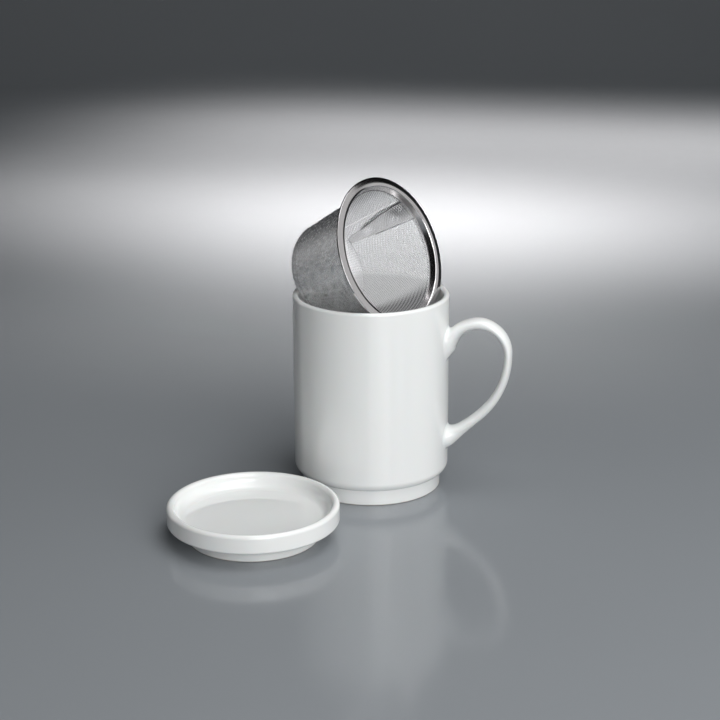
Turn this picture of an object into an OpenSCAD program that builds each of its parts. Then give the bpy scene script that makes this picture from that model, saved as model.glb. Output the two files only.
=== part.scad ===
// Tea mug with a loose lid and a lift-out infuser.
// The mug stands on the XY plane with its axis on Z and its handle towards +X.
// The lid lies beside the mug with its tray up. The infuser leans in the mug's mouth.

/* [Mug] */
// Outside diameter of the mug
mug_d = 82; // [72:1:100]
// Height of the mug
mug_h = 105; // [86:1:130]
// Wall of the mug, rounded over at the lip
mug_wall = 3.1; // [2.6:0.1:4.5]
// Thickness of the mug's floor
mug_floor = 5; // [4:0.5:8]
// Radius inside, from the wall to the floor
mug_inner_r = 12; // [11:0.5:20]
// Radius outside, where the wall turns under to the foot
mug_corner_r = 4.5; // [3:0.5:6]

/* [Mug foot] */
// How far the foot stands in from the mug's wall
foot_inset = 4.3; // [4:0.1:6]
// Height of the foot
foot_h = 8.6; // [6:0.1:10]
// Width of the ring that the mug stands on
foot_ring_w = 4; // [3:0.5:6]
// Depth of the hollow under the mug
foot_hollow = 2; // [1:0.5:3]
// Rounding of the foot's lower edge
foot_edge_r = 0.6; // [0.3:0.1:0.7]

/* [Handle] */
// Reach of the handle's centre line beyond the wall
handle_reach = 32; // [28:0.5:40]
// Drop from the lip to the top of the handle's centre line
handle_drop = 13.5; // [11:0.5:20]
// Height of the lower root's centre above the table
handle_low = 29; // [24:0.5:34]
// Radius of the bend at the top
handle_top_r = 16.75; // [14:0.25:19]
// Radius of the nearly straight lower arm
handle_arm_r = 90; // [80:1:200]
// Angle through which the side turns before the lower arm
handle_turn = 48; // [44:1:52]
// Width of the grip, measured round the mug
grip_w = 10; // [8:0.5:12]
// Thickness of the grip over the finger
grip_t_top = 5.8; // [5:0.1:7]
// Thickness of the grip at its outermost point
grip_t_side = 3.6; // [3:0.1:6]
// Thickness of the lower arm
grip_t_low = 5.2; // [4.4:0.1:7]
// Height of each root on the wall
root_h = 12.4; // [10:0.1:15]
// Width of each root on the wall
root_w = 16; // [13:0.5:19]
// Length over which the lower arm's inner side swells into its root
root_flare_in = 8; // [6:0.5:12]
// Length over which the lower arm's outer side swells into its root
root_flare_out = 20; // [12:0.5:24]

/* [Lid] */
// How far the lid's rim stands out past the mug's wall
lid_overhang = 2.1; // [1:0.1:4]
// Height of the lid
lid_h = 17.8; // [16:0.1:22]
// Height of the lid's shoulder, which rests on the mug
lid_shoulder_z = 8; // [7:0.1:9]
// Width of the rounded rim
lid_rim_w = 3.8; // [3:0.1:5]
// Rounding under the rim
lid_corner_r = 1.5; // [1:0.1:2]
// Thickness of the lid's floor
lid_floor = 5; // [4:0.1:6]
// Depth of the hollow under the lid
lid_hollow = 5.3; // [4.5:0.1:6]
// Width of the ring under the lid
lid_ring_w = 3.8; // [3:0.1:5]
// Clearance between the lid's ring and the infuser's neck
lid_play = 0.4; // [0.2:0.1:1.5]
// Space between the mug and the lid that lies beside it
lid_space = 10.9; // [4:0.1:40]
// Direction from the mug to the lid
lid_azimuth = -116.6; // [-170:0.1:-60]

/* [Infuser] */
// How far the flange overlaps the lip when the infuser hangs in the mug
flange_overlap = 1.95; // [1.2:0.05:2.8]
// Flat width of the flange
flange_w = 3.55; // [2:0.05:6]
// Radius of the bead round the flange's edge
bead_r = 0.6; // [0.5:0.05:1]
// How far the bead stands above the flange
bead_rise = 0.25; // [0.05:0.05:0.4]
// Sheet of the flange and its neck
rim_sheet = 0.6; // [0.4:0.1:1]
// Radius over which the flange turns down into the neck
neck_bend_r = 2.9; // [2:0.1:4]
// Straight length of the neck below the bend
neck_h = 1.2; // [0.8:0.1:3]
// Sheet of the perforated basket
basket_sheet = 0.5; // [0.3:0.1:0.8]
// Depth of the basket below the flange
basket_h = 52; // [40:1:58]
// Taper of the basket's wall, from its axis
basket_taper = 10.6; // [4:0.1:12]
// Outside radius of the basket's bottom corner
basket_corner_r = 10.5; // [7:0.5:13]

/* [Resting infuser] */
// Angle of the infuser's axis above level as it leans in the mouth
lean_up = 22.5; // [18:0.5:30]
// Direction that the infuser's open end faces
lean_azimuth = -25.5; // [-60:0.5:60]
// Clearance where the infuser rests on the lip
rest_gap = 0.3; // [0.2:0.05:0.6]

/* [Hidden] */
$fn = 96;
eps = 0.01;

mug_r = mug_d / 2;
mouth_r = mug_r - mug_wall;
foot_r = mug_r - foot_inset;
floor_z = foot_hollow + mug_floor;
lip_r = mug_wall / 2;             // the lip is a full round over the wall
lip_ring_r = mug_r - lip_r;       // the circle that the lip's round follows
lip_z = mug_h - lip_r;

flange_r = mouth_r + flange_overlap;
neck_r = flange_r - flange_w - neck_bend_r;   // inside the neck
neck_z = -neck_bend_r - neck_h;               // lower end of the neck
lap_rise = 0.3;                               // how far the basket's top reaches into the bend
basket_top_z = -neck_bend_r + lap_rise;       // the basket laps the neck from here down
basket_low_r = neck_r - (basket_h + neck_z) * tan(basket_taper);

lid_r = mug_r + lid_overhang;
lid_ring_r = neck_r - lid_play;
lid_floor_z = lid_hollow + lid_floor;
lid_dist = mug_r + lid_space + lid_r;

// The value between lo and hi at which the rising function f reaches zero.
function root(f, lo, hi, n = 22) =
    n == 0 ? (lo + hi) / 2
    : f((lo + hi) / 2) > 0 ? root(f, lo, (lo + hi) / 2, n - 1)
    : root(f, (lo + hi) / 2, hi, n - 1);

// A square in the XY plane from one corner to the other.
module area(low, high) {
    translate(low) square(high - low);
}

module disc(centre, r) {
    translate(centre) circle(r);
}

// ---- Mug body ----

module mug_outline() {
    area([0, foot_h + mug_corner_r], [mug_r, lip_z]);
    area([0, foot_h], [mug_r - mug_corner_r, foot_h + mug_corner_r + eps]);
    disc([mug_r - mug_corner_r, foot_h + mug_corner_r], mug_corner_r);
    area([0, foot_edge_r], [foot_r, foot_h + eps]);
    area([0, 0], [foot_r - foot_edge_r, foot_edge_r + eps]);
    disc([foot_r - foot_edge_r, foot_edge_r], foot_edge_r);
}

module mug_cavity() {
    area([0, floor_z + mug_inner_r], [mouth_r, mug_h + 1]);
    area([0, floor_z], [mouth_r - mug_inner_r, floor_z + mug_inner_r + eps]);
    disc([mouth_r - mug_inner_r, floor_z + mug_inner_r], mug_inner_r);
}

module mug_body() {
    color("white")
        rotate_extrude($fn = 192)
            difference() {
                union() {
                    difference() {
                        mug_outline();
                        mug_cavity();
                    }
                    disc([lip_ring_r, lip_z], lip_r);
                }
                area([-1, -1], [foot_r - foot_ring_w, foot_hollow]);
            }
}

// ---- Handle ----
// Its centre line is three arcs that meet smoothly: the top bend, the side and the lower arm.

bend_x = mug_r + handle_reach - handle_top_r;
bend_z = mug_h - handle_drop - handle_top_r;

function side_x(side_r) = mug_r + handle_reach - side_r;
function arm_x(side_r) = side_x(side_r) - (handle_arm_r - side_r) * cos(handle_turn);
function arm_z(side_r) = bend_z + (handle_arm_r - side_r) * sin(handle_turn);
// Height at which the lower arm's centre line reaches the wall
function arm_end_z(side_r) =
    arm_z(side_r) - sqrt(pow(handle_arm_r, 2) - pow(mug_r - arm_x(side_r), 2));

handle_side_r = root(function(r) handle_low - arm_end_z(r), 20, 79);
arm_end_angle = acos((mug_r - arm_x(handle_side_r)) / handle_arm_r);

// A station is [x, z, direction of its outer side, half-thickness out, half-thickness in, half-width].
top_end = 192;      // the top bend turns this far, to end inside the wall
arm_past = 3;       // the lower arm turns this much further than where it meets the wall
arm_steps = 14;
root_thin = 0.8;    // half-thickness where the upper root dies away inside the wall
dip = 0.7;          // how much thinner the outer side is just before the upper root
half_root = root_h / 2;
top_stations = [
    for (a = [top_end : -6 : 6])
        [bend_x + handle_top_r * cos(a), bend_z + handle_top_r * sin(a), a,
         lookup(a, [[0, grip_t_side / 2], [80, grip_t_top / 2], [107, grip_t_top / 2 - dip]]),
         lookup(a, [[0, grip_t_side / 2], [80, grip_t_top / 2], [120, grip_t_top / 2 + 1],
                    [150, half_root - 1], [172, half_root - 1], [186, half_root / 2], [top_end, root_thin]]),
         lookup(a, [[90, grip_w / 2], [120, grip_w / 2 + 1], [165, root_w / 2], [top_end, root_w / 3]])]
];
side_stations = [
    for (a = [0 : 4 : handle_turn - 1])
        let (t = lookup(a, [[0, grip_t_side], [handle_turn, grip_t_low]]) / 2)
        [side_x(handle_side_r) + handle_side_r * cos(a), bend_z - handle_side_r * sin(a), -a,
         t, t, grip_w / 2]
];
// How far the lower arm has swelled at angle a, from 0 to 1 at its root
function swell(a, length) =
    min(1, pow(max(0, 1 - (arm_end_angle - a) * PI / 180 * handle_arm_r / length), 2));
arm_stations = [
    for (i = [0 : arm_steps])
        let (a = handle_turn + (arm_end_angle + arm_past - handle_turn) * i / arm_steps,
             s_in = swell(a, root_flare_in), s_out = swell(a, root_flare_out),
             t = grip_t_low / 2, more = half_root - t)
        [arm_x(handle_side_r) + handle_arm_r * cos(a), arm_z(handle_side_r) - handle_arm_r * sin(a), -a,
         t + more * s_out, t + more * s_in, grip_w / 2 + (root_w - grip_w) / 2 * s_in]
];
stations = concat(top_stations, side_stations, arm_stations);
ring_n = 24;

// One point on the oval section of a station
function on_section(s, q) =
    let (out = sin(q) > 0 ? s[3] * sin(q) : s[4] * sin(q))
    [s[0] + out * cos(s[2]), s[5] * cos(q), s[1] + out * sin(s[2])];

module handle_sweep() {
    last = len(stations) - 1;
    polyhedron(
        points = [for (s = stations, k = [0 : ring_n - 1]) on_section(s, 360 * k / ring_n)],
        faces = concat(
            [[for (k = [0 : ring_n - 1]) k]],
            [for (i = [0 : last - 1], k = [0 : ring_n - 1])
                let (a = i * ring_n + k, b = i * ring_n + (k + 1) % ring_n)
                [a, a + ring_n, b + ring_n, b]],
            [[for (k = [ring_n - 1 : -1 : 0]) last * ring_n + k]]));
}

module mug_handle() {
    color("white")
        difference() {
            handle_sweep();
            cylinder(r = mug_r, h = mug_h, $fn = 192);
        }
}

// ---- Lid ----

module lid_outline() {
    rim_r = lid_rim_w / 2;
    area([0, lid_shoulder_z + lid_corner_r], [lid_r, lid_h - rim_r]);
    area([0, lid_shoulder_z], [lid_r - lid_corner_r, lid_shoulder_z + lid_corner_r + eps]);
    disc([lid_r - lid_corner_r, lid_shoulder_z + lid_corner_r], lid_corner_r);
    area([0, foot_edge_r], [lid_ring_r, lid_shoulder_z + eps]);
    area([0, 0], [lid_ring_r - foot_edge_r, foot_edge_r + eps]);
    disc([lid_ring_r - foot_edge_r, foot_edge_r], foot_edge_r);
}

// The tray on top of the lid: a flat floor, and a cove up to the rim
module lid_tray() {
    rim_z = lid_h - lid_rim_w / 2;
    cove_r = rim_z - lid_floor_z;
    tray_r = lid_r - lid_rim_w;
    area([0, lid_floor_z], [tray_r - cove_r, lid_h + 1]);
    area([0, rim_z], [tray_r, lid_h + 1]);
    disc([tray_r - cove_r, rim_z], cove_r);
}

module lid() {
    color("white")
        translate(lid_dist * [cos(lid_azimuth), sin(lid_azimuth), 0])
            rotate_extrude($fn = 192)
                difference() {
                    union() {
                        difference() {
                            lid_outline();
                            lid_tray();
                        }
                        disc([lid_r - lid_rim_w / 2, lid_h - lid_rim_w / 2], lid_rim_w / 2);
                    }
                    area([-1, -1], [lid_ring_r - lid_ring_w, lid_hollow]);
                }
}

// ---- Infuser, drawn upright with the flange's top at z = 0 ----

// The wall of the basket turns into its bottom here
corner_z = basket_corner_r - basket_h;
corner_r0 = basket_low_r + basket_corner_r * (tan(basket_taper) - 1 / cos(basket_taper));

module rim_profile() {
    plate_r = flange_r - bead_r;
    bend_r = neck_r + neck_bend_r;
    disc([plate_r, bead_rise - bead_r], bead_r);
    area([bend_r, -rim_sheet], [plate_r, 0]);
    difference() {
        disc([bend_r, -neck_bend_r], neck_bend_r);
        disc([bend_r, -neck_bend_r], neck_bend_r - rim_sheet);
        area([bend_r, -2 * neck_bend_r - 1], [bend_r + neck_bend_r + 1, 1]);
        area([neck_r - 1, -2 * neck_bend_r - 1], [bend_r + 1, -neck_bend_r]);
    }
    area([neck_r, neck_z], [neck_r + rim_sheet, -neck_bend_r]);
}

// The basket's outer outline from its axis up to its top edge, or with inset the inner one
function basket_line(inset) = concat(
    [[0, inset - basket_h]],
    [for (a = [-90 : 4 : -basket_taper])
        [corner_r0, corner_z] + (basket_corner_r - inset) * [cos(a), sin(a)]],
    [[neck_r - inset, neck_z], [neck_r - inset, basket_top_z]]
);

module basket_profile() {
    inner = basket_line(basket_sheet);
    polygon(concat(basket_line(0), [for (i = [len(inner) - 1 : -1 : 0]) inner[i]]));
}

// ---- Where the infuser rests ----
// In the lean plane, x runs the way the open end faces and y along the flange's lowest tangent.
// The flange touches the lip's inner side twice, and so does the basket's corner.

// Distance from a point to the surface of the mug's wall and rounded lip
function lip_gap(p) =
    norm([norm([p.x, p.y]) - lip_ring_r, max(p.z - lip_z, 0)]) - lip_r;

// A point of the leaning infuser: radius r at angle a and height z of the upright one
function leaned(at, r, a, z) =
    [at.x + z * cos(lean_up) - r * sin(a) * sin(lean_up),
     r * cos(a),
     at.y + z * sin(lean_up) + r * sin(a) * cos(lean_up)];

function flange_gap(at) =
    min([for (a = [-90 : 1.5 : 0]) lip_gap(leaned(at, flange_r - bead_r, a, bead_rise - bead_r))]) - bead_r;

function basket_gap(at) =
    min([for (b = [0 : 6 : 90], a = [-90 : 3 : 0])
        lip_gap(leaned(at, corner_r0 + basket_corner_r * cos(b), a, corner_z - basket_corner_r * sin(b)))]);

// The wall above the corner can touch too
function wall_gap(at) =
    min([for (t = [0 : 0.05 : 1], a = [-90 : 3 : 0])
        lip_gap(leaned(at, neck_r + (corner_r0 + basket_corner_r * cos(basket_taper) - neck_r) * t, a,
                       neck_z + (corner_z - neck_z) * t))]);

// For a flange centre at height z, how far along x it can go before the flange touches
function rest_x(z) = root(function(x) rest_gap - flange_gap([x, z]), -mug_r / 4, mug_r / 2);
function rest_at(z) = [rest_x(z), z];
rest_z = root(function(z) min(basket_gap(rest_at(z)), wall_gap(rest_at(z))) - rest_gap,
              mug_h, mug_h + flange_r * cos(lean_up) - 2 * lip_r, 14);
rest = rest_at(rest_z);

module resting() {
    rotate([0, 0, lean_azimuth])
        translate([rest.x, 0, rest.y])
            rotate([0, 90 - lean_up, 0])
                children();
}

module infuser_rim() {
    color("silver") resting() rotate_extrude($fn = 192) rim_profile();
}

module infuser_basket() {
    color("gray") resting() rotate_extrude($fn = 192) basket_profile();
}

mug_body();
mug_handle();
lid();
infuser_rim();
infuser_basket();
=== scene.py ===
# %% [markdown]
# # A porcelain tea mug, its lid and a steel infuser
#
# The mug, its handle and its lid are white glazed porcelain. The infuser is pressed from thin
# stainless steel: a flange with a short neck, and a basket of finely perforated sheet.
#
# The CAD model is loaded first and stays where it is. The pieces below stand for its solids, in
# the same places, so nothing has to be fitted. Sizes are in millimetres. They are the CAD
# model's own, apart from a few that the looks ask for: the flange is crowned by up to 0.8, the
# handle's side is up to 0.5 thicker, and the basket is thin sheet with real holes.

# %% Load the frame
import math
from functools import reduce

import bmesh
import bpy
from mathutils import Matrix, Vector


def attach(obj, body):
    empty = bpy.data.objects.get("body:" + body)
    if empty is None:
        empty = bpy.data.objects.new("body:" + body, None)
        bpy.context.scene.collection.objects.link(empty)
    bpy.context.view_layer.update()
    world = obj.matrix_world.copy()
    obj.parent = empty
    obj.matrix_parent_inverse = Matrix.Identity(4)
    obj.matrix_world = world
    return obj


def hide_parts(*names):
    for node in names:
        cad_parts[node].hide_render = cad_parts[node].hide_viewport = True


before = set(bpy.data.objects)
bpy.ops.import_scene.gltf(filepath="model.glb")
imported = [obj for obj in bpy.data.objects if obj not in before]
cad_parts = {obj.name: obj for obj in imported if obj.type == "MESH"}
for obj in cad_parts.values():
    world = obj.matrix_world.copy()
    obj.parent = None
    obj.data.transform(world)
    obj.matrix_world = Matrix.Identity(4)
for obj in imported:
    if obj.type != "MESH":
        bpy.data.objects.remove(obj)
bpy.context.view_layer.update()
MM = 0.001
TURN = 2 * math.pi

# %% [markdown]
# ## Round things start as half an outline
#
# A mug, a lid and a ring are turned shapes. Cylinders could make them, but a cylinder has sharp
# edges, and the real ones are all rounded. So half an outline is drawn as a few corners, each
# corner is rounded with a vertex bevel, and a full spin makes the solid. A lathe works the same
# way, and every edge gets its true radius.

# %% Draw, round and spin an outline
MERGE = 1e-6          # metres: vertices closer together than this become one
CORNER_STEPS = 8      # segments in each rounded corner


def round_corner(bm, vert, reach, segments):
    """Turn a corner of a wire into an arc that starts this far from it on both sides."""
    bmesh.ops.bevel(bm, geom=[vert], offset=reach, offset_type="OFFSET", segments=segments,
                    profile=0.5, affect="VERTICES", material=-1, clamp_overlap=False)


def outline(corners, closed=False):
    """A wire in the XZ plane through (radius, height, rounding) corners."""
    bm = bmesh.new()
    verts = [bm.verts.new((r * MM, 0, z * MM)) for r, z, _ in corners]
    for a, b in zip(verts, verts[1:] + verts[:1] * closed):
        bm.edges.new((a, b))
    for v, (_, _, rounding) in zip(verts, corners):
        if rounding:
            round_corner(bm, v, rounding * MM, CORNER_STEPS)
    bmesh.ops.remove_doubles(bm, verts=bm.verts, dist=MERGE)
    return bm


def spun(bm, steps=192):
    """The solid that the wire sweeps out round the Z axis, faces outwards."""
    bmesh.ops.spin(bm, geom=bm.verts[:] + bm.edges[:], cent=(0, 0, 0), axis=(0, 0, 1),
                   angle=TURN, steps=steps, use_merge=True)
    bmesh.ops.remove_doubles(bm, verts=bm.verts, dist=MERGE)
    bmesh.ops.recalc_face_normals(bm, faces=bm.faces)
    return bm


sample = outline([(1, 0, 0), (2, 0, 0.5), (2, 1, 0)])
print("one rounded corner gives an outline of", len(sample.verts), "vertices")
sample.free()

# %% [markdown]
# ## From a mesh to a piece
#
# Every piece of the real object moves with the part it is fixed to. So each mesh here rides on
# one body, stands for one node of the CAD model and fills one slot. That could be set by hand
# for each piece, but in one function it can't be forgotten. The place goes into the mesh and
# the object stays at the origin, so patterns on Object coordinates stay where they belong.

# %% Make a piece
def mesh_object(name, bm, material):
    """Make the mesh a smooth object in the scene."""
    for face in bm.faces:
        face.smooth = True
    mesh = bpy.data.meshes.new(name)
    bm.to_mesh(mesh)
    bm.free()
    mesh.materials.append(material)
    obj = bpy.data.objects.new(name, mesh)
    bpy.context.scene.collection.objects.link(obj)
    return obj


def piece(name, bm, body, node, material, place=Matrix.Identity(4)):
    """Make the mesh an object that rides on its body and stands for its CAD node."""
    bm.transform(place)
    obj = mesh_object(name, bm, material)
    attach(obj, body)
    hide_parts(node)
    size = " x ".join(f"{side / MM:.1f}" for side in obj.dimensions)
    print(f"{name}: {len(obj.data.polygons)} faces, {size} mm")
    return obj


def keep_flats_flat(obj):
    """Shade long flat faces flat where they meet the small roundings."""
    obj.modifiers.new("weighted normals", "WEIGHTED_NORMAL")


print("pieces go into", bpy.context.scene.collection.name)

# %% [markdown]
# ## Finishes from nodes
#
# A glaze or a ground steel face is never quite even. An image could carry such a pattern, but
# it would need an unwrapped surface and blur close up. Here each finish is a tree of nodes on
# Object coordinates, sharp at any distance and fixed to the piece at any pose. This class only
# saves typing. A noise of scale 100 has grains of about a hundredth of a metre.

# %% Node helpers
class Finish:
    """A material with its shader, and short ways to add and join nodes."""

    MIX_A, MIX_B, MIX_OUT = 6, 7, 2     # the Mix node's colour sockets, which share their names

    def __init__(self, name):
        self.material = bpy.data.materials.new(name)
        self.material.use_nodes = True
        self.tree = self.material.node_tree
        self.shader = self.tree.nodes["Principled BSDF"]
        self.coords = self.add("ShaderNodeTexCoord").outputs["Object"]

    def add(self, kind, settings=(), **inputs):
        node = self.tree.nodes.new(kind)
        for key, value in dict(settings).items():
            setattr(node, key, value)
        for key, value in inputs.items():
            self.feed(node.inputs[key.replace("_", " ")], value)
        return node

    def feed(self, socket, value):
        if isinstance(value, bpy.types.NodeSocket):
            self.tree.links.new(value, socket)
        else:
            socket.default_value = value

    def set(self, **inputs):
        for key, value in inputs.items():
            self.feed(self.shader.inputs[key.replace("_", " ")], value)

    def math(self, operation, a, b=0.0):
        node = self.add("ShaderNodeMath", {"operation": operation})
        self.feed(node.inputs[0], a)
        self.feed(node.inputs[1], b)
        return node.outputs[0]

    def product(self, *values):
        return reduce(lambda a, b: self.math("MULTIPLY", a, b), values)

    def largest(self, *values):
        return reduce(lambda a, b: self.math("MAXIMUM", a, b), values)

    def line(self, x, start, slope):
        """start + slope * x"""
        return self.math("ADD", start, self.math("MULTIPLY", x, slope))

    def ramp(self, value, low, high, to_low=0.0, to_high=1.0):
        """A smooth step from to_low to to_high as value goes from low to high."""
        return self.add("ShaderNodeMapRange", {"interpolation_type": "SMOOTHSTEP"}, Value=value,
                        From_Min=low, From_Max=high, To_Min=to_low,
                        To_Max=to_high).outputs["Result"]

    def noise(self, scale, detail=2.0):
        return self.add("ShaderNodeTexNoise", Vector=self.coords, Scale=scale,
                        Detail=detail).outputs["Fac"]

    def mix(self, factor, a, b):
        node = self.add("ShaderNodeMix", {"data_type": "RGBA"}, Factor=factor)
        self.feed(node.inputs[self.MIX_A], a)
        self.feed(node.inputs[self.MIX_B], b)
        return node.outputs[self.MIX_OUT]

    def bump(self, height, distance, **below):
        """A normal for a height that varies by distance, on top of the normal below it."""
        return self.add("ShaderNodeBump", Height=height, Strength=1.0, Distance=distance,
                        **below).outputs["Normal"]


print("short ways to make nodes:", [name for name in vars(Finish) if name[0].islower()])

# %% [markdown]
# ## White glaze
#
# Porcelain is a dense white body under a clear, hard glaze. The glaze flows before it sets, so
# its sharp reflections waver a little, and a few iron specks burn through it. The ring that
# stands on the kiln shelf is wiped clean before firing and stays bare and matt. Separate
# materials could do this, but glaze is one coat, so one tree does it all: two bumps make it
# waver, a Voronoi pattern picks the rare specks, and the height says where the glaze ends.

# %% White glaze
GLAZE_TONES = (0.80, 0.82, 0.81, 1), (0.84, 0.85, 0.845, 1)
SPECK_TONE, BARE_TONE = (0.24, 0.21, 0.18, 1), (0.62, 0.60, 0.56, 1)
SPECK_CELLS = 70.0                   # Voronoi cells in a metre
SPECK_R, SPECK_LUCK = 0.012, 0.93    # its radius in a cell, and the draw that a cell must beat
BARE_TO, GLAZED_FROM = 0.0004, 0.0007    # heights in metres
GLOSS, MATT = 0.035, 0.75
FLOW_DEPTH, GRAIN_DEPTH = 0.00003, 0.0000012


def white_glaze():
    f = Finish("white glaze")
    cells = f.add("ShaderNodeTexVoronoi", Vector=f.coords, Scale=SPECK_CELLS)
    draw = f.add("ShaderNodeSeparateColor", Color=cells.outputs["Color"]).outputs["Red"]
    speck = f.product(f.math("LESS_THAN", cells.outputs["Distance"], SPECK_R),
                      f.math("GREATER_THAN", draw, SPECK_LUCK))
    height = f.add("ShaderNodeSeparateXYZ", Vector=f.coords).outputs["Z"]
    bare = f.ramp(height, BARE_TO, GLAZED_FROM, 1.0, 0.0)
    glazed = f.mix(speck, f.mix(f.noise(18.0), *GLAZE_TONES), SPECK_TONE)
    f.set(Base_Color=f.mix(bare, glazed, BARE_TONE),
          Roughness=f.ramp(bare, 0.0, 1.0, GLOSS, MATT), IOR=1.55,
          Subsurface_Weight=0.06, Subsurface_Scale=0.002)
    flow = f.bump(f.noise(55.0), FLOW_DEPTH)
    f.set(Normal=f.bump(f.noise(700.0), GRAIN_DEPTH, Normal=flow))
    return f.material


glaze = white_glaze()
print("made", glaze.name)

# %% [markdown]
# ## The mug's body
#
# The mug is a straight cylinder with a full round lip. The wall turns under in a small radius to
# a foot that stands in from it, and inside it meets the floor in a wide cove that a spoon can
# follow. It could be a cylinder with another one cut out, but one closed outline holds all of
# it, with clean faces and every rounding in its place.

# %% The mug's body
MUG_R, MOUTH_R, MUG_H = 41.0, 37.9, 105.0
FOOT_R, FOOT_IN_R, FOOT_H = 36.7, 32.7, 8.6
FLOOR_Z, UNDER_Z = 7.0, 2.0             # the floor, and the hollow under the foot
LIP, TURN_UNDER, COVE = 1.55, 4.5, 12   # roundings: the lip's is half the wall
body = piece("mug_wall", spun(outline([
    (0, UNDER_Z, 0), (FOOT_IN_R, UNDER_Z, 0.9), (FOOT_IN_R, 0, 0.6), (FOOT_R, 0, 0.6),
    (FOOT_R, FOOT_H, 0.5), (MUG_R, FOOT_H, TURN_UNDER), (MUG_R, MUG_H, LIP),
    (MOUTH_R, MUG_H, LIP), (MOUTH_R, FLOOR_Z, COVE), (0, FLOOR_Z, 0)])),
    "mug", "mug_body", glaze)
keep_flats_flat(body)

# %% [markdown]
# ## The lid
#
# The lid is a tray. Its rim is thick and rounded, a cove leads down to the flat disc, and below
# the shoulder a narrower ring drops into the mug. A disc could be pressed in with a boolean, but
# the lid is turned like the mug, so it gets an outline of its own. It lies beside the mug with
# the tray up.

# %% The lid
LID_AT = Vector((-42.5371, -84.9447, 0)) * MM
RIM_R, RIM_TOP = 43.1, 17.8
TRAY_R, TRAY_Z, TRAY_COVE = 39.3, 10.3, 5.6
RING_R, RING_IN_R = 33, 29.2
SHOULDER_Z, RING_ROOF_Z = 8, 5.3
lid = piece("lid_tray", spun(outline([
    (0, RING_ROOF_Z, 0), (RING_IN_R, RING_ROOF_Z, 1.2), (RING_IN_R, 0, 0.6), (RING_R, 0, 0.6),
    (RING_R, SHOULDER_Z, 0.7), (RIM_R, SHOULDER_Z, 1.5), (RIM_R, RIM_TOP, 1.9),
    (TRAY_R, RIM_TOP, 1.9), (TRAY_R, TRAY_Z, TRAY_COVE), (0, TRAY_Z, 0)])),
    "lid", "lid", glaze, Matrix.Translation(LID_AT))
keep_flats_flat(lid)

# %% [markdown]
# ## The handle's centre line
#
# A handle is cast apart and stuck on with slip, which fills the corner where it meets the wall.
# A curve with a round bevel could sweep it, but its section changes all along: broad and deep at
# the roots, slim at the side. So a ring of vertices will be extruded from station to station.
# The centre line is three arcs that meet without a kink: the top bend, the side and the lower
# arm. A station says where it is, which way is outwards, and how thick the handle is there.

# %% The handle's centre line and section
BEND_X, BEND_Z = 56.25, 74.75                    # the top bend's centre
TOP_R, SIDE_R, ARM_R = 16.75, 45.3355, 90.0
TOP_TURN, SIDE_TURN, ARM_END = 192, 48.0, 64.3   # degrees at the arcs' far ends
SIDE_X = BEND_X + TOP_R - SIDE_R                 # the centres of the other two arcs
ARM_X = SIDE_X - (ARM_R - SIDE_R) * math.cos(math.radians(SIDE_TURN))
ARM_Z = BEND_Z + (ARM_R - SIDE_R) * math.sin(math.radians(SIDE_TURN))
# (degrees, half-size) along the top bend: towards the outside, towards the mug, and sideways
TOP_OUT = (0, 1.76), (80, 2.9), (107, 2.2)
TOP_IN = (0, 2.3), (80, 2.9), (120, 3.9), (150, 5.2), (172, 5.2), (186, 3.1), (192, 0.8)
TOP_WIDE = (90, 5), (120, 6), (165, 8), (192, 5.4)
SIDE_OUT, SIDE_IN = (1.76, 0.84), (2.3, 0.3)     # half-size above, and what it grows by below
HALF_WIDTH, WIDTH_SWELL = 5, 3                   # of the arm, and what it grows by at the wall
ARM_HALF, ARM_SWELL = 2.6, 3.6                   # the same for its thickness
SWELL_IN, SWELL_OUT = 8, 20                      # it begins to grow so far before the wall
WALL_TURN = 3                                    # degrees of the arm that lie in the wall


def lookup(x, table):
    """Straight lines between the (x, value) pairs of a table."""
    if x <= table[0][0]:
        return table[0][1]
    for (x0, y0), (x1, y1) in zip(table, table[1:]):
        if x <= x1:
            return y0 + (y1 - y0) * (x - x0) / (x1 - x0)
    return table[-1][1]


def on_arc(x, z, radius, degrees):
    """A point of an arc round (x, z), and the direction outwards there."""
    a = math.radians(degrees)
    return x + radius * math.cos(a), z + radius * math.sin(a), degrees


def stations():
    """(x, z, direction outwards, half-size out, in and sideways) from root to root."""
    for a in range(TOP_TURN, -1, -4):
        sizes = (lookup(a, table) for table in (TOP_OUT, TOP_IN, TOP_WIDE))
        yield *on_arc(BEND_X, BEND_Z, TOP_R, a), *sizes
    for i in range(1, 13):
        a = SIDE_TURN * i / 12
        sizes = (size + more * a / SIDE_TURN for size, more in (SIDE_OUT, SIDE_IN))
        yield *on_arc(SIDE_X, BEND_Z, SIDE_R, -a), *sizes, HALF_WIDTH
    for i in range(1, 15):
        a = SIDE_TURN + (ARM_END - SIDE_TURN) * i / 14
        to_wall = (ARM_END - WALL_TURN - a) * math.pi / 180 * ARM_R
        near_out, near_in = (min(1, max(0, 1 - to_wall / n) ** 2) for n in (SWELL_OUT, SWELL_IN))
        yield (*on_arc(ARM_X, ARM_Z, ARM_R, -a), ARM_HALF + ARM_SWELL * near_out,
               ARM_HALF + ARM_SWELL * near_in, HALF_WIDTH + WIDTH_SWELL * near_in)


STATIONS = list(stations())
print(len(STATIONS), "stations from the upper root to the lower one")

# %% [markdown]
# ## Lines along the handle
#
# Glazed clay has no seam between handle and wall, so the rings near the wall can't be cut square
# to the centre line. A boolean would join the shapes but leave a hard corner. Instead, each
# point of the section is followed along the handle as a line of its own, and each line looks
# for the place where it meets the wall.

# %% Lines along the handle
AROUND = 20       # points round the section
OVER = 1.017      # a subdivision surface lies inside its cage by about this much
FINE = 8          # places tried between two stations


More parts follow.
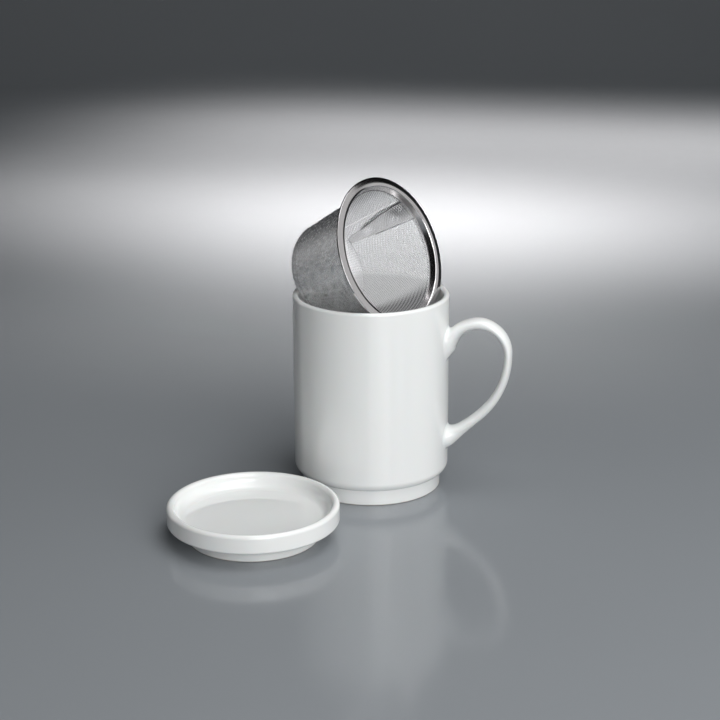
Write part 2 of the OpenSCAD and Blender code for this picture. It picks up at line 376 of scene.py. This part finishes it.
def rail(k, t):
    """The point at station t, which may lie between two, on line k of the section."""
    i = min(int(t), len(STATIONS) - 2)
    x, z, turn, out, inside, wide = (a + (b - a) * (t - i)
                                     for a, b in zip(STATIONS[i], STATIONS[i + 1]))
    q = TURN * k / AROUND
    reach = OVER * math.sin(q) * (out if math.sin(q) > 0 else inside)
    turn = math.radians(turn)
    return Vector((x + reach * math.cos(turn), OVER * wide * math.cos(q),
                   z + reach * math.sin(turn)))


def leaves_wall(k, radius, last):
    """The station where line k crosses the radius, from the top end or from the last one."""
    count = len(STATIONS) - 1
    for n in range(count * FINE + 1):
        t = count - n / FINE if last else n / FINE
        if rail(k, t).xy.length > radius:
            return t
    return t


print("the outermost line leaves the wall at station", leaves_wall(AROUND // 4, MUG_R, False))

# %% [markdown]
# ## The roots of the handle
#
# Slip makes a soft fillet at each root. A bevel can't round this meeting of two curved surfaces
# evenly. So the last rings bend from the handle onto the wall: each point goes from its line,
# by way of the place where the line meets the wall, to a place further out on the wall. Two
# more rings sink below the wall's face, so that no gap shows.

# %% Spread the ends over the wall
FILLETS = {False: (0.9, 3.2), True: (1.5, 0.8)}   # upper and lower root, inner and outer side
CURVE_STEPS = 0.35, 0.68, 1                       # where rings lie between handle and wall
SKIN = 0.03                                       # the fillet's edge stands this far off the wall
SUNK = (0.7, 0.2), (0.9, 1.5)                     # rings so much further out, and so deep


def on_wall(points, spread, radius):
    """The ring pushed outwards over the mug's wall by a distance for each point, at a radius."""
    flat = [Vector((math.atan2(p.y, p.x) * MUG_R, p.z)) for p in points]
    centre = sum(flat, Vector((0, 0))) / AROUND
    made = []
    for k, p in enumerate(flat):
        along = flat[(k + 1) % AROUND] - flat[k - 1]
        normal = Vector((along.y, -along.x)).normalized()
        if normal.dot(p - centre) < 0:
            normal.negate()
        p = p + normal * spread[k]
        angle = p.x / MUG_R
        made.append(Vector((radius * math.cos(angle), radius * math.sin(angle), p.y)))
    return made


def root_rings(last):
    """How wide the fillet is at each line, and the rings from the handle to below the wall."""
    inner, outer = FILLETS[last]
    size = [inner + (outer - inner) * (1 + math.sin(TURN * k / AROUND)) / 2
            for k in range(AROUND)]
    edge = [rail(k, leaves_wall(k, MUG_R, last)) for k in range(AROUND)]
    start = [rail(k, leaves_wall(k, MUG_R + size[k], last)) for k in range(AROUND)]
    end = on_wall(edge, size, MUG_R + SKIN)
    made = [[p * (1 - t) ** 2 + e * 2 * t * (1 - t) + q * t ** 2
             for p, e, q in zip(start, edge, end)] for t in CURVE_STEPS]
    for further, deep in SUNK:
        made.append(on_wall(edge, [w + further for w in size], MUG_R - deep))
    return size, made


upper_size, upper_rings = root_rings(False)
lower_size, lower_rings = root_rings(True)
print("fillets:", round(min(lower_size), 2), "to", round(max(upper_size), 2), "mm wide")

# %% [markdown]
# ## The handle
#
# Now a circle of vertices is laid on the first ring and extruded to each of the others in turn.
# A bridge between finished rings would do as well, but extruding keeps one clean grid of quads.
# A subdivision surface then rounds the whole cage, as a wet sponge does with clay.

# %% Extrude the rings
RINGS_BETWEEN = 60     # steps between the two roots


def handle_rings():
    starts = [leaves_wall(k, MUG_R + upper_size[k], False) for k in range(AROUND)]
    ends = [leaves_wall(k, MUG_R + lower_size[k], True) for k in range(AROUND)]
    middle = [[rail(k, starts[k] + (ends[k] - starts[k]) * j / RINGS_BETWEEN)
               for k in range(AROUND)] for j in range(RINGS_BETWEEN + 1)]
    return upper_rings[::-1] + middle + lower_rings


def handle_cage():
    bm = bmesh.new()
    loop = bmesh.ops.create_circle(bm, segments=AROUND, radius=1)["verts"]
    rings = handle_rings()
    for v, p in zip(loop, rings[0]):
        v.co = p * MM
    for ring in rings[1:]:
        edges = [e for e in bm.edges if all(v in loop for v in e.verts)]
        grown = set(bmesh.ops.extrude_edge_only(bm, edges=edges)["geom"])
        loop = [next(e.other_vert(v) for e in v.link_edges if e.other_vert(v) in grown)
                for v in loop]
        for v, p in zip(loop, ring):
            v.co = p * MM
    bmesh.ops.holes_fill(bm, edges=bm.edges, sides=AROUND)
    bmesh.ops.recalc_face_normals(bm, faces=bm.faces)
    return bm


handle = piece("handle_loop", handle_cage(), "mug", "mug_handle", glaze)
rounding = handle.modifiers.new("rounding", "SUBSURF")
rounding.levels = rounding.render_levels = 2

# %% [markdown]
# ## Where the infuser leans
#
# The real infuser hangs in the mug or, as here, leans in its mouth with the open end forwards
# and up. It could be modelled in that place, but a leaning shape is awkward to measure. So it is
# modelled upright, with the flange's top at height zero, and one matrix leans each mesh.

# %% The infuser's place
LEAN_AZIMUTH, LEAN_UP = math.radians(-25.5), math.radians(22.5)
LEAN_AT = Vector((12.9181, 0, 128.284)) * MM
LEANING = (Matrix.Rotation(LEAN_AZIMUTH, 4, "Z") @ Matrix.Translation(LEAN_AT)
           @ Matrix.Rotation(math.pi / 2 - LEAN_UP, 4, "Y"))
print("opening faces", [round(v, 3) for v in LEANING.to_3x3() @ Vector((0, 0, 1))])

# %% [markdown]
# ## Steel
#
# The flange's face is satin, from a belt that ran round it and left fine lines along the ring.
# Its hem and the drawn neck are polished, so they mirror the dark room as black bands. These
# could be three materials on picked faces, but the radius already tells them apart, and ramps
# let one blend into the next. The pattern is worked out upright, so a Mapping node undoes the
# lean first.

# %% Satin and polished steel
STEEL_TONES = (0.60, 0.585, 0.59, 1), (0.70, 0.685, 0.69, 1)
SATIN_FROM, SATIN_TO = (0.0364, 0.0368), (0.0388, 0.0391)   # radii in metres
FLARE = 0.0345, 0.0362
POLISHED, SATIN = 0.07, 0.13
NECK_WORN, SMUDGED = 0.07, 0.04      # what wear adds in the neck, and smudges everywhere
BELT_LINES = 5000.0                  # in a metre
BELT_DEPTH = 0.000002


def upright(f):
    """X, Y and Z of the infuser as if it stood upright, with the flange's top at zero."""
    undo = f.add("ShaderNodeMapping", {"vector_type": "TEXTURE"}, Vector=f.coords,
                 Location=LEANING.translation, Rotation=LEANING.to_euler())
    return f.add("ShaderNodeSeparateXYZ", Vector=undo.outputs["Vector"]).outputs


def steel():
    f = Finish("satin steel")
    x, y, _ = upright(f)
    radius = f.math("SQRT", f.math("ADD", f.math("POWER", x, 2.0), f.math("POWER", y, 2.0)))
    lines = f.add("ShaderNodeTexNoise", {"noise_dimensions": "1D"}, W=radius, Scale=BELT_LINES,
                  Detail=3.0).outputs["Fac"]
    satin = f.product(f.ramp(radius, *SATIN_FROM), f.ramp(radius, *SATIN_TO, 1.0, 0.0))
    worn = f.math("ADD", f.ramp(radius, *FLARE, NECK_WORN, 0.0),
                  f.product(f.noise(120.0, 3.0), SMUDGED))
    f.set(Base_Color=f.mix(lines, *STEEL_TONES), Metallic=1.0,
          Roughness=f.math("ADD", f.ramp(satin, 0.0, 1.0, POLISHED, SATIN), worn))
    f.set(Normal=f.bump(f.product(lines, satin), BELT_DEPTH))
    return f.material


satin_steel = steel()
print("made", satin_steel.name)

# %% [markdown]
# ## The flange and its neck
#
# A press draws the ring: its face is crowned by less than a millimetre, it flares down into a
# short neck that holds the basket, and its outer edge is turned under in a hem, so nobody is cut
# by it. A flat washer would be quicker, but steel shows every slope in its reflections, so the
# slopes are drawn truly, in one closed outline that is spun.

# %% The flange and its neck
FLANGE_R = 39.73
flange = piece("infuser_flange", spun(outline([
    (33.4, -4.1, 0.2), (33.4, -2.6, 0.6), (35.0, 0.5, 0.35),              # neck, inside
    (36.6, 0.95, 1.0), (FLANGE_R, 0.2, 0.2),                              # crown
    (FLANGE_R, -0.95, 0.3), (38.6, -0.9, 0.2), (38.6, 0.0, 0.1),          # hem
    (36.6, 0.4, 1.0), (35.4, 0, 0.4), (34.0, -2.6, 0.6), (34.0, -4.1, 0.2)],   # underside
    closed=True), steps=224), "infuser", "infuser_rim", satin_steel, LEANING)
keep_flats_flat(flange)

# %% [markdown]
# ## Perforated sheet
#
# The basket is sheet with thousands of small holes in staggered rows. A printed pattern would
# show no depth, and cutting so many holes with booleans is slow. Here a grid of half-brick quads
# becomes bricks when every other upright edge is dissolved, and bricks become regular hexagons
# when their corners shift. The blank is cut out of that flat sheet. Each hexagon that is still
# whole, or nearly so, is inset and its middle is deleted, which leaves a hole in a web of steel
# and a plain edge. The inset also sinks a hole's edge a little, because etching rounds the web.
# The flat blank is then rolled onto the basket, as in the factory.

# %% A flat sheet of hexagons, cut and perforated
PITCH = 1.05              # from hole to hole
WEB = 0.23                # width of the web on each side of a hole
SHEET = 0.16              # thickness of the sheet
DISH = 0.03               # how far a hole's edge lies below the ridge between two holes
NEARLY_WHOLE = 0.6        # a cut hexagon with this share of its area still gets a hole
SPARE = 4                 # extra sheet to cut a blank from
ROW = PITCH * math.sqrt(3) / 2


def hexagons(width, depth, middle=(0, 0)):
    """A flat sheet of regular hexagons round a middle point."""
    bm = bmesh.new()
    columns, rows = math.ceil(width / PITCH), math.ceil(depth / ROW)
    bmesh.ops.create_grid(bm, x_segments=2 * columns, y_segments=rows, size=1)
    unwanted = []
    for e in bm.edges:
        a, b = e.verts
        i, j = round((a.co.x + 1) * columns), round((min(a.co.y, b.co.y) + 1) * rows / 2)
        if abs(a.co.x - b.co.x) < 0.5 / columns and (i + j) % 2 and 0 < i < 2 * columns:
            unwanted.append(e)
    for v in bm.verts:
        i, j = round((v.co.x + 1) * columns), round((v.co.y + 1) * rows / 2)
        v.co.x = middle[0] + (i - columns) * PITCH / 2
        v.co.y = middle[1] + (j - rows / 2 + (1 / 6 if (i + j) % 2 == 0 else -1 / 6)) * ROW
    bmesh.ops.dissolve_edges(bm, edges=unwanted, use_verts=False)
    return bm


def keep_where(bm, inside):
    """Delete the hexagons whose centres aren't inside."""
    gone = [f for f in bm.faces if not inside(f.calc_center_median())]
    bmesh.ops.delete(bm, geom=gone, context="FACES")


def perforate(bm):
    """Make a hole in each hexagon, and count the holes."""
    least = NEARLY_WHOLE * PITCH * ROW
    holes = [f for f in bm.faces if len(f.verts) == 6 and f.calc_area() > least]
    bmesh.ops.inset_individual(bm, faces=holes, thickness=WEB, depth=-DISH, use_even_offset=True)
    bmesh.ops.delete(bm, geom=holes, context="FACES_ONLY")
    return len(holes)


sample = hexagons(10, 10)
print("a sample of the sheet has", len(sample.faces), "faces,", perforate(sample), "holes")
sample.free()

# %% [markdown]
# ## Perforated steel finish
#
# The sheet is bright outside, so it mirrors the dark room above it. Inside it is matt and pale
# and scatters the light that falls in, and the walls of the holes are rough from the etch and
# dark. One steel for all three would be simpler, but then the inside mirrors the dark room too.
# So there are three finishes, and the sheet's thickness later puts each on its own side. The
# noise keeps the web from looking printed.

# %% Outside and hole walls
OUTER_TONES = (0.84, 0.84, 0.85, 1), (0.92, 0.92, 0.93, 1)
HOLE_TONES = (0.09, 0.09, 0.095, 1), (0.14, 0.14, 0.145, 1)


def uneven(f, tones, least_rough, most_rough):
    """A tone in large soft patches and a roughness in small ones."""
    return dict(Base_Color=f.mix(f.noise(90.0, 3.0), *tones),
                Roughness=f.ramp(f.noise(600.0), 0.3, 0.7, least_rough, most_rough))


def outer_steel():
    f = Finish("perforated steel outside")
    f.set(Metallic=0.9, **uneven(f, OUTER_TONES, 0.22, 0.30))
    return f.material


def etched_steel():
    f = Finish("etched steel")
    f.set(Base_Color=f.mix(f.noise(900.0), *HOLE_TONES), Metallic=1.0, Roughness=0.6)
    return f.material


outer_finish, hole_finish = outer_steel(), etched_steel()
print("made", outer_finish.name, "and", hole_finish.name)

# %% [markdown]
# ## Painted shade and a seam line inside the basket
#
# The basket's inside is darkened by four marks painted into its colour. A dark curve along the
# free edge of the lap is a painted shadow under the lifted edge, and a thin dark line is drawn
# along its seam. Dark bands across the lap near the neck and ripples low in the mouth are
# painted shade: on real sheet such ripples can come from two layers of holes seen through each
# other, and then they move with the eye, and the low ripples also stand for the shade near the
# mug's lip. Here all four marks are drawn in the finish and stay where they are: ramps on the
# angle round the basket and on the height say how far the steel's colour is darkened. That is
# a stand-in, but it can be placed exactly.

# %% Painted shade and a seam line inside the basket
INNER_TONES = (0.90, 0.90, 0.91, 1), (0.96, 0.96, 0.97, 1)
# The colour of the painted shade and of the drawn seam line.
SHADE_AND_SEAM_TONE = (0.06, 0.06, 0.065, 1)
# Angles are in degrees round the basket, heights in metres, slants in degrees per metre. A pair
# of them is where a mark fades out and where it is full, or the other way round.
FOLD_AT_MOST, FOLD_AT_TOP, FOLD_SLANT = 134.9, 142.3, 466.7
FOLD_EDGES, FOLD_ENDS = (0.7, 1.9), (-0.034, -0.030)
SEAM_AT, SEAM_EDGES, SEAM_ENDS = 113.4, (0.3, 0.9), (-0.029, -0.026)
LAP_FADES_IN, LAP_FADES_OUT, LAP_ENDS = (113.0, 128.0), (133.0, 136.0), (-0.020, -0.007)
LOW_AT_TOP, LOW_SLANT = 55.0, 860.0
LOW_EDGE, LOW_FADES_IN = (-14.0, 5.0), (-10.0, 10.0)
LAP_WAVE, LOW_WAVE = 4800.0, 3000.0      # radians in a metre: a band every 1.3 and 2.1 mm


def dark_line(f, angle, at, edges, strength):
    """A line down the wall, full up to the first of its edges and gone at the second."""
    away = f.math("ABSOLUTE", f.math("SUBTRACT", angle, at))
    return f.ramp(away, *edges, strength, 0.0)


def bands(f, z, wave, least):
    """Bands across the wall, between the least and nearly full strength."""
    return f.ramp(f.math("SINE", f.math("MULTIPLY", z, wave)), -1.0, 1.0, least, 0.95)


# Painted shade (the fold's shadow, the lap's bands, the low ripples) and the drawn seam line.
def painted_shade_and_seam(f):
    x, y, z = upright(f)
    angle = f.math("DEGREES", f.math("ARCTAN2", y, x))
    free_edge = f.math("MINIMUM", FOLD_AT_MOST, f.line(z, FOLD_AT_TOP, FOLD_SLANT))
    fold = f.product(dark_line(f, angle, free_edge, FOLD_EDGES, 1.0), f.ramp(z, *FOLD_ENDS))
    seam = f.product(dark_line(f, angle, SEAM_AT, SEAM_EDGES, 0.9), f.ramp(z, *SEAM_ENDS))
    lap = f.product(f.ramp(angle, *LAP_FADES_IN), f.ramp(angle, *LAP_FADES_OUT, 1.0, 0.0),
                    f.ramp(z, *LAP_ENDS), bands(f, z, LAP_WAVE, 0.5))
    past_low = f.math("SUBTRACT", angle, f.line(z, LOW_AT_TOP, LOW_SLANT))
    low = f.product(f.ramp(past_low, *LOW_EDGE, 1.0, 0.0), f.ramp(angle, *LOW_FADES_IN),
                    bands(f, z, LOW_WAVE, 0.45))
    return f.largest(fold, seam, lap, low)


def inner_steel():
    f = Finish("perforated steel inside")
    bright = uneven(f, INNER_TONES, 0.30, 0.40)
    # The painted shade and the seam line darken the inner steel's colour.
    f.set(Base_Color=f.mix(painted_shade_and_seam(f), bright["Base_Color"], SHADE_AND_SEAM_TONE), Metallic=0.2,
          Roughness=bright["Roughness"])
    return f.material


inner_finish = inner_steel()
print("made", inner_finish.name, "with", len(inner_finish.node_tree.nodes), "nodes")

# %% [markdown]
# ## The basket's wall
#
# The wall is part of a flat ring, rolled into a cone and lapped, so there are two layers over a
# strip of it. The inner free edge is upright near the rim, slants away lower down and lifts off
# the layer below. The holes could be bent with a lattice or a shrinkwrap, but a cone unrolls
# exactly, so a formula takes each vertex from the blank to the cone and no hole is stretched.

# %% From the flat ring to the cone
NECK_R, NECK_Z, WALL_TOP_Z = 33.36, -4.1, -2.6
TAPER = math.radians(10.6)
CORNER_R, CORNER_AT = 10.5, (15.7185, -41.5)           # the rounding at the bottom
WALL_LOW_R = CORNER_AT[0] + CORNER_R * math.cos(TAPER)
LAP_FROM, LAP_TO = math.radians(114), math.radians(135)
BLANK_TOP = NECK_R / math.sin(TAPER)                   # radii of the flat ring's edges
BLANK_LOW = WALL_LOW_R / math.sin(TAPER)
COLLAR = WALL_TOP_Z - NECK_Z                           # the part of it inside the neck
REACH = BLANK_TOP + COLLAR
BLANK_SPAN = (TURN + LAP_TO - LAP_FROM) * math.sin(TAPER)
MIDDLE = (LAP_FROM + LAP_TO + TURN) / 2                # where the blank's middle comes to lie
# How far the inner layer steps in, and from where and over how much of a turn it does so. The
# same for the lift of the free edge. Then the lift of the slanting edge, from how near it, and
# down to which depth.
LAP_STEP, STEP_FROM, STEP_OVER = 0.36, 0.85, 0.14
EDGE_LIFT, EDGE_FROM, EDGE_OVER = 0.5, 1.03, 0.02
SLIT_LIFT, SLIT_NEAR, SLIT_DEPTH = 1.0, 4, 40


def blank_point(turned, down):
    """The point of the flat ring that comes to lie at an angle and a distance down the wall."""
    angle = (turned - MIDDLE) * math.sin(TAPER)
    return (REACH - down) * Vector((math.sin(angle), -math.cos(angle), 0))


SLIT_TOP = blank_point(TURN + math.radians(134.5), 14.5)
SLIT_LOW = blank_point(TURN + math.radians(127.6), 29.5)
SLIT_OUT = Vector((SLIT_LOW.y - SLIT_TOP.y, SLIT_TOP.x - SLIT_LOW.x, 0)).normalized()


def wall_point(co):
    """Where a point of the flat ring goes on the cone."""
    turned = math.atan2(co.x, -co.y) / math.sin(TAPER) + MIDDLE
    down = REACH - co.length
    r = NECK_R - max(0, down - COLLAR) * math.sin(TAPER)
    z = WALL_TOP_Z - min(down, COLLAR) - max(0, down - COLLAR) * math.cos(TAPER)
    lapped = (turned - LAP_FROM) / TURN                # 0 at the outer free edge, over 1 in the lap
    along = min(1, max(0, down / (REACH - BLANK_LOW)))
    lift = LAP_STEP * min(1, max(0, (lapped - STEP_FROM) / STEP_OVER))
    lift += EDGE_LIFT * math.sin(math.pi * along) * max(0, (lapped - EDGE_FROM) / EDGE_OVER) ** 2
    if lapped > 1 and COLLAR < down < SLIT_DEPTH:
        near_slit = max(0, 1 + (co - SLIT_TOP).dot(SLIT_OUT) / SLIT_NEAR)
        arch = math.sin(math.pi * (down - COLLAR) / (SLIT_DEPTH - COLLAR))
        lift += SLIT_LIFT * near_slit ** 2 * arch
    r -= lift
    return Vector((r * math.cos(turned), r * math.sin(turned), z))


print("the blank spans", round(math.degrees(BLANK_SPAN), 1), "degrees, from radius",
      round(BLANK_LOW, 1), "to", round(REACH, 1), "mm")

# %% [markdown]
# ## The wall's blank
#
# In the factory a die cuts the blank out of the sheet. A boolean could be the die, but straight
# edges need only a bisect plane each: two for the ends of the ring and one for the slanting
# edge of the lap. The round edges are cut between hexagons, and their corners are then moved
# onto the circle.

# %% The wall's blank
PARTING = 1e-4       # millimetres: vertices this close to a cut lie on it
ANGLE_SPARE = 0.01   # radians of sheet left past the ends for the planes to cut


def cut(bm, at, outwards):
    """Cut the sheet along a plane and drop what lies on its outer side."""
    bmesh.ops.bisect_plane(bm, geom=bm.verts[:] + bm.edges[:] + bm.faces[:], dist=PARTING,
                           plane_co=at, plane_no=outwards, clear_outer=True)


def wall_blank():
    """The flat ring segment, cut and perforated, centred on the -Y axis."""
    half = BLANK_SPAN / 2
    low_y = -BLANK_LOW * math.cos(half)
    bm = hexagons(2 * REACH * math.sin(half) + SPARE, REACH + low_y + SPARE,
                  (0, (low_y - REACH) / 2))
    keep_where(bm, lambda c: BLANK_LOW < c.length < REACH
               and abs(math.atan2(c.x, -c.y)) < half + ANGLE_SPARE)
    for side in (-1, 1):
        cut(bm, (0, 0, 0), Matrix.Rotation(side * half, 3, "Z") @ Vector((side, 0, 0)))
    cut(bm, SLIT_TOP, SLIT_OUT)
    for v in bm.verts:
        if v.is_boundary and v.co.length > REACH - PITCH:
            v.co *= REACH / v.co.length
        elif v.is_boundary and v.co.length < BLANK_LOW + PITCH:
            v.co *= BLANK_LOW / v.co.length
    print("wall:", perforate(bm), "holes")
    return bm


blank = wall_blank()

# %% [markdown]
# ## Rolling the wall
#
# Rolled sheet keeps its thickness. It could be modelled with two skins, but Solidify does the
# same from one, and its material offsets put the inner finish and the hole finish on the inside
# and in the holes. The sunken edges of the holes are taken along the normal of the rolled
# sheet. The wall is made in two halves, which meet at the blank's middle, to keep each mesh
# light.

# %% Roll both halves
BASKET_MIDDLE = Vector((0, 0, -25))     # a point well inside, which faces must look away from


def rolled(bm, surface):
    """Move every vertex of the flat blank to its place on the basket, faces outwards."""
    depths = [v.co.z for v in bm.verts]
    for v in bm.verts:
        v.co = surface(v.co.xy.to_3d()) * MM
    bm.normal_update()
    bm.faces.ensure_lookup_table()
    face = bm.faces[len(bm.faces) // 3]
    if face.normal.dot(face.calc_center_median() - BASKET_MIDDLE * MM) < 0:
        bmesh.ops.reverse_faces(bm, faces=bm.faces)
        bm.normal_update()
    for v, depth in zip(bm.verts, depths):
        v.co += v.normal * depth * MM
    return bm


def give_thickness(obj):
    for finish in (inner_finish, hole_finish):
        obj.data.materials.append(finish)
    sheet = obj.modifiers.new("sheet", "SOLIDIFY")
    sheet.material_offset, sheet.material_offset_rim = 1, 2
    sheet.thickness = SHEET * MM
    sheet.offset = -1


def wall_half(name, side):
    bm = blank.copy()
    cut(bm, (0, 0, 0), (-side, 0, 0))
    rolled(bm, wall_point)
    give_thickness(piece(name, bm, "infuser", "infuser_basket", outer_finish, LEANING))


wall_half("basket_wall_left", -1)
wall_half("basket_wall_right", 1)
blank.free()

# %% [markdown]
# ## The weld
#
# Something has to hold the lap. A row of small spot welds does it here, each a flattened ball
# that stands a little out of the sheet, so it catches the light as a bright dash. A bump in the
# finish would be lighter, but it would have no edge against the holes. A few dozen coarse balls
# cost little.

# %% The weld
WELDS = 36
WELD_FROM, WELD_STEP = 1.5, 1.02          # down the wall from the neck's edge
WELD_TURN, WELD_DRIFT = 136.8, 0.03       # degrees at the first weld, and from one to the next
WELD_PROUD = 0.08                         # how far a weld's middle stands off the sheet
WELD_HALF = 0.34, 0.55, 0.36              # half of its depth, width and height


def weld_row():
    bm = bmesh.new()
    for i in range(WELDS):
        down = WELD_FROM + WELD_STEP * i
        radius = NECK_R - down * math.sin(TAPER) - SHEET - DISH - WELD_PROUD
        at = Vector((radius, 0, NECK_Z - down * math.cos(TAPER))) * MM
        place = (Matrix.Rotation(math.radians(WELD_TURN + WELD_DRIFT * i), 4, "Z")
                 @ Matrix.Translation(at) @ Matrix.Rotation(TAPER, 4, "Y")
                 @ Matrix.Diagonal([half * MM for half in WELD_HALF] + [1]))
        bmesh.ops.create_icosphere(bm, subdivisions=2, radius=1, matrix=place)
    return bm


piece("basket_weld", weld_row(), "infuser", "infuser_basket", inner_finish, LEANING)

# %% [markdown]
# ## The basket's bottom
#
# The bottom is a perforated disc, pressed so that its edge turns up to meet the wall. A sphere
# or a subdivided disc could give the form, but not the rows of holes. So the flat sheet is used
# again and wrapped by keeping distances from the centre, as a press nearly does.

# %% The basket's bottom
END_EDGE = CORNER_AT[0] + CORNER_R * (math.pi / 2 - TAPER)    # along the sheet from the centre


def end_point(co):
    """Where a point of the flat disc goes on the bottom."""
    bend = max(0, co.length - CORNER_AT[0]) / CORNER_R
    r = min(co.length, CORNER_AT[0]) + CORNER_R * math.sin(bend)
    angle = math.atan2(co.y, co.x)
    return Vector((r * math.cos(angle), r * math.sin(angle),
                   CORNER_AT[1] - CORNER_R * math.cos(bend)))


def basket_end():
    bm = hexagons(2 * END_EDGE + SPARE, 2 * END_EDGE + SPARE)
    keep_where(bm, lambda c: c.length < END_EDGE)
    for v in bm.verts:
        if v.is_boundary:
            v.co *= END_EDGE / v.co.length
    print("bottom:", perforate(bm), "holes")
    return rolled(bm, end_point)


give_thickness(piece("basket_end", basket_end(), "infuser", "infuser_basket",
                     outer_finish, LEANING))

# %% [markdown]
# ## The studio's sweep
#
# Small goods are shown on a sweep of board: a floor that curves up into a wall, so no horizon
# shows. A plane with a grey backdrop would leave an edge. The sweep is an outline like the
# mug's, extruded sideways, and its surface is sleek enough to mirror the object faintly.

# %% The sweep
VIEW_TURN = math.radians(12)       # the camera's heading, from the mug's own Y axis
BOARD_TONES = (0.252, 0.270, 0.288, 1), (0.268, 0.286, 0.304, 1)
SWEEP_HALF, SWEEP_FRONT, SWEEP_BACK, SWEEP_TOP = 3, -2, 2.2, 2.6    # metres
SWEEP_BEND, SWEEP_STEPS = 0.9, 40


def pale_board():
    f = Finish("pale board")
    f.set(Base_Color=f.mix(f.noise(3.0), *BOARD_TONES),
          Roughness=f.ramp(f.noise(40.0), 0.3, 0.7, 0.13, 0.16))
    return f.material


def sweep():
    bm = bmesh.new()
    verts = [bm.verts.new((-SWEEP_HALF, y, z))
             for y, z in ((SWEEP_FRONT, 0), (SWEEP_BACK, 0), (SWEEP_BACK, SWEEP_TOP))]
    for a, b in zip(verts, verts[1:]):
        bm.edges.new((a, b))
    round_corner(bm, verts[1], SWEEP_BEND, SWEEP_STEPS)
    grown = bmesh.ops.extrude_edge_only(bm, edges=bm.edges)["geom"]
    bmesh.ops.translate(bm, verts=[g for g in grown if isinstance(g, bmesh.types.BMVert)],
                        vec=(2 * SWEEP_HALF, 0, 0))
    bmesh.ops.recalc_face_normals(bm, faces=bm.faces)
    bm.transform(Matrix.Rotation(VIEW_TURN, 4, "Z"))
    obj = mesh_object("studio_sweep", bm, pale_board())
    return obj


print("sweep has", len(sweep().data.polygons), "faces")

# %% [markdown]
# ## The lights
#
# The key softbox and a fill stand to the right of the camera. Weaker ones hang above and high on
# the right. Steel shows what stands round it, so a pale card on the right and a small one behind
# on the left give it something to mirror. The left side has no other light, which shades the mug
# and gives it volume. Narrow strips point straight down behind the object and draw the soft glow
# on the floor. An environment map could light it all, but area lights can be placed and weighed
# one by one.

# %% Lights
OBJECT = (0, 0, 0.07)                 # what most of them point at
STRIP_Z, STRIP_SPREAD = 0.7, 45
GLOW = (1.0, 0.93, 0.89)              # warm, so that the glow on blue-grey board comes out white


def softbox(name, at, aim, width, height, radiance, spread=180, tint=(1, 1, 1)):
    """A soft square light. Places are seen from the camera: right, away and up, in metres."""
    turn = Matrix.Rotation(VIEW_TURN, 3, "Z")
    at, aim = turn @ Vector(at), turn @ Vector(aim)
    data = bpy.data.lights.new(name, "AREA")
    data.shape, data.size, data.size_y = "RECTANGLE", width, height
    data.energy = radiance * math.pi * width * height
    data.spread = math.radians(spread)
    data.color = tint
    lamp = bpy.data.objects.new(name, data)
    lamp.location = at
    lamp.rotation_euler = (aim - at).to_track_quat("-Z", "Y").to_euler()
    bpy.context.scene.collection.objects.link(lamp)
    print(name, round(data.energy, 1), "W")


def floor_strip(name, right, away, width, height, radiance):
    """A warm light that points straight down at the floor."""
    softbox(name, (right, away, STRIP_Z), (right, away, 0), width, height, radiance,
            STRIP_SPREAD, GLOW)


softbox("key softbox", (0.51, -0.95, 0.80), OBJECT, 1.0, 1.5, 2.2)
softbox("front fill", (0.26, -1.23, 0.39), OBJECT, 0.7, 0.7, 3.9)
softbox("top softbox", (0.2, -0.1, 1.35), OBJECT, 0.8, 0.8, 3.0)
softbox("high right softbox", (0.61, 0, 1.22), OBJECT, 0.7, 0.6, 1.8)
softbox("right card", (0.7, -0.1, 0.4), (0, -0.1, 0.4), 0.62, 0.8, 0.62)
softbox("left card", (-0.54, 0.27, 0.17), (0, 0, 0.13), 0.19, 0.3, 1.1)
floor_strip("short floor strip", 0.03, 0.6, 0.3, 0.1, 11.5)
floor_strip("long floor strip", 0.05, 0.65, 0.8, 0.1, 5.6)
floor_strip("far floor strip", 0.18, 0.95, 0.8, 0.25, 3.5)
floor_strip("near floor strip", 0, 0.37, 0.3, 0.1, 3.8)

# %% [markdown]
# ## The room and the tones
#
# The room round the studio is dark, because polished steel needs black to mirror beside the
# white of the softboxes. A grey world would be quicker, but it lifts every shadow. The Standard
# view keeps the tones as the lights give them.

# %% The dark room
world = bpy.data.worlds.new("studio")
world.use_nodes = True
world.node_tree.nodes["Background"].inputs["Strength"].default_value = 0.0
bpy.context.scene.world = world
bpy.context.scene.view_settings.view_transform = "Standard"
print("world:", world.name, "view:", bpy.context.scene.view_settings.view_transform)

# %% [markdown]
# ## The camera
#
# A long lens from a step away keeps the mug's sides nearly upright and its proportions true. It
# could be aimed with a constraint, but three plain rotations say exactly how it is held: turned
# to its heading, tipped down, and rolled by a hair.

# %% The camera
CAMERA_AT = (0.18317, -0.88855, 0.36068)
TIPPED_DOWN, ROLL = 0.312543, -0.0045     # radians
LENS, SENSOR = 90.33, 36
HALF_PIXEL = 0.5 / 720
camera = bpy.data.objects.new("camera", bpy.data.cameras.new("camera"))
camera.data.lens = LENS
camera.data.sensor_width = SENSOR
camera.data.shift_x, camera.data.shift_y = -HALF_PIXEL, HALF_PIXEL
camera.matrix_world = (Matrix.Translation(CAMERA_AT) @ Matrix.Rotation(VIEW_TURN, 4, "Z")
                       @ Matrix.Rotation(math.pi / 2 - TIPPED_DOWN, 4, "X")
                       @ Matrix.Rotation(ROLL, 4, "Z"))
bpy.context.scene.collection.objects.link(camera)
bpy.context.scene.camera = camera
print("camera is", round(Vector(CAMERA_AT).length, 3), "m from the mug's foot")

# %% [markdown]
# ## Sizes
#
# The mug, the lid and the infuser have to be as large as their CAD solids, or the joints and the
# mounts would no longer fit them.
